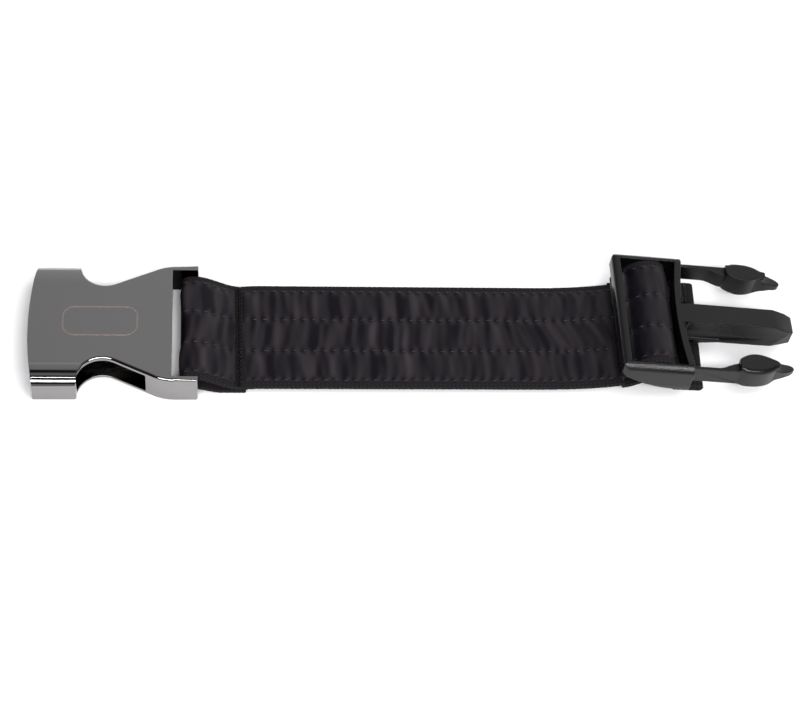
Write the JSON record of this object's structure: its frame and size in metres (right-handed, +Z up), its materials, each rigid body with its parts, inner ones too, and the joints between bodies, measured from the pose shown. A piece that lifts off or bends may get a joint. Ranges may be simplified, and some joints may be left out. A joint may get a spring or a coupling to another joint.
{
  "type": "luggage strap",
  "caption": "Short add-on strap: metal side-release socket on a stitched loop of flat webbing, with a sliding moulded plug that has a centre tongue and two sprung arms.",
  "frame": {"origin": "middle of the bounding box, on the table that the strap lies on", "axes": "+X along the strap from the socket to the plug's tips, +Y to the far side, +Z up"},
  "size_m": [0.2956, 0.0587, 0.02],
  "materials": {
    "gunmetal": "polished dark plating",
    "bar_steel": "plain bar",
    "black_acetal": "fine moulded texture",
    "black_webbing": "close flat weave",
    "black_satin": "satin panel, puckered by its stitching",
    "black_thread": "twisted polyester thread"
  },
  "bodies": {
    "strap": {"strap_loop": "black_webbing", "strap_run": "black_webbing", "satin_face": "black_satin", "stitch_row_1": "black_thread", "stitch_row_2": "black_thread", "stitch_row_3": "black_thread", "stitch_row_4": "black_thread", "cross_seam": "black_thread", "strap_tail": "black_webbing", "hem_seam": "black_thread"},
    "socket": {"socket_shell": "gunmetal", "guide_insert": "black_acetal", "loop_bar": "bar_steel"},
    "plug": {"buckle_frame": "black_acetal", "strap_hump": "black_webbing"},
    "far_arm": {"latch_arm_far": "black_acetal"},
    "near_arm": {"latch_arm_near": "black_acetal"}
  },
  "joints": [
    {"name": "socket_swing", "type": "hinge", "parent": "strap", "child": "socket", "pos_m": [-0.08663, -0.00137, 0.006], "axis": [0, 1, 0], "range_deg": [-75, 85]},
    {"name": "plug_slide", "type": "slide", "parent": "strap", "child": "plug", "axis": [1, 0, 0], "range_m": [-0.12, 0]},
    {"name": "far_arm_flex", "type": "hinge", "parent": "plug", "child": "far_arm", "pos_m": [0.1063, 0.02478, 0.01791], "axis": [0.0757, -0.0018, 0.9971], "range_deg": [-8, 0], "stiffness_Nm_per_rad": 0.5},
    {"name": "near_arm_flex", "type": "hinge", "parent": "plug", "child": "near_arm", "pos_m": [0.10513, -0.02451, 0.01791], "axis": [0.0757, -0.0018, 0.9971], "range_deg": [0, 8], "stiffness_Nm_per_rad": 0.5}
  ]
}
